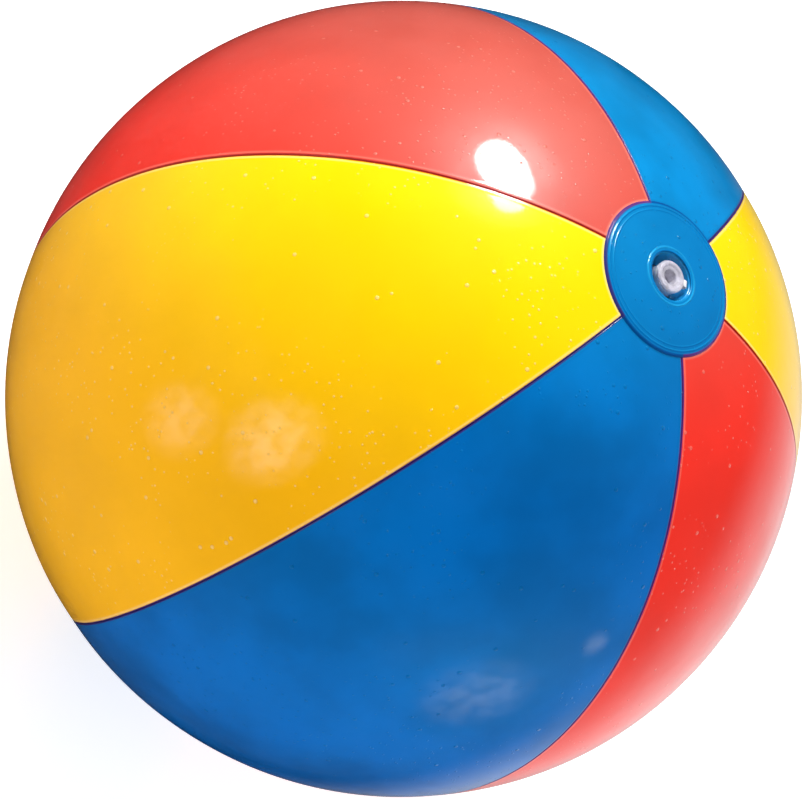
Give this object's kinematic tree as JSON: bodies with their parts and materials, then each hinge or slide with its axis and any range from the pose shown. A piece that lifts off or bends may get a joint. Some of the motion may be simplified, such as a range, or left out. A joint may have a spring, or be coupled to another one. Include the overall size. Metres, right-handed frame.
{
  "type": "inflatable beach ball",
  "caption": "Inflatable beach ball of welded vinyl gores between two round end discs, with a push-in valve, strapped plug and check flap.",
  "frame": {"origin": "centre of the inflated ball", "axes": "+Z along the pole axis, out through the valve; the middle of one yellow gore faces -Y, so seams lie at azimuths 0, 60, 120, 180, 240 and 300 degrees from +X"},
  "size_m": [0.3294, 0.33, 0.3301],
  "materials": {
    "yellow_film": "glossy translucent vinyl film",
    "red_film": "glossy translucent vinyl film",
    "blue_film": "glossy translucent vinyl film",
    "clear_vinyl": "clear glossy moulded vinyl"
  },
  "bodies": {
    "ball": {"gore_yellow_a": "yellow_film", "gore_blue_a": "blue_film", "gore_red_a": "red_film", "gore_yellow_b": "yellow_film", "gore_blue_b": "blue_film", "gore_red_b": "red_film", "valve_disc": "blue_film", "base_disc": "blue_film", "valve_flange": "clear_vinyl", "valve_web": "clear_vinyl"},
    "stem": {"valve_stem": "clear_vinyl"},
    "plug": {"valve_plug": "clear_vinyl", "plug_strap": "clear_vinyl"},
    "flap": {"check_flap": "clear_vinyl"}
  },
  "joints": [
    {"name": "stem_slide", "type": "slide", "parent": "ball", "child": "stem", "axis": [0, 0, 1], "range_m": [0, 0.015], "deforming": ["valve_web"]},
    {"name": "plug_swing", "type": "hinge", "parent": "stem", "child": "plug", "pos_m": [0.00291, 0.00702, 0.165], "axis": [-0.9239, 0.3827, 0], "range_deg": [0, 150], "deforming": ["plug_strap"]},
    {"name": "flap_swing", "type": "hinge", "parent": "stem", "child": "flap", "pos_m": [-0.00214, -0.00517, 0.1513], "axis": [-0.9239, 0.3827, 0], "range_deg": [0, 60]}
  ]
}
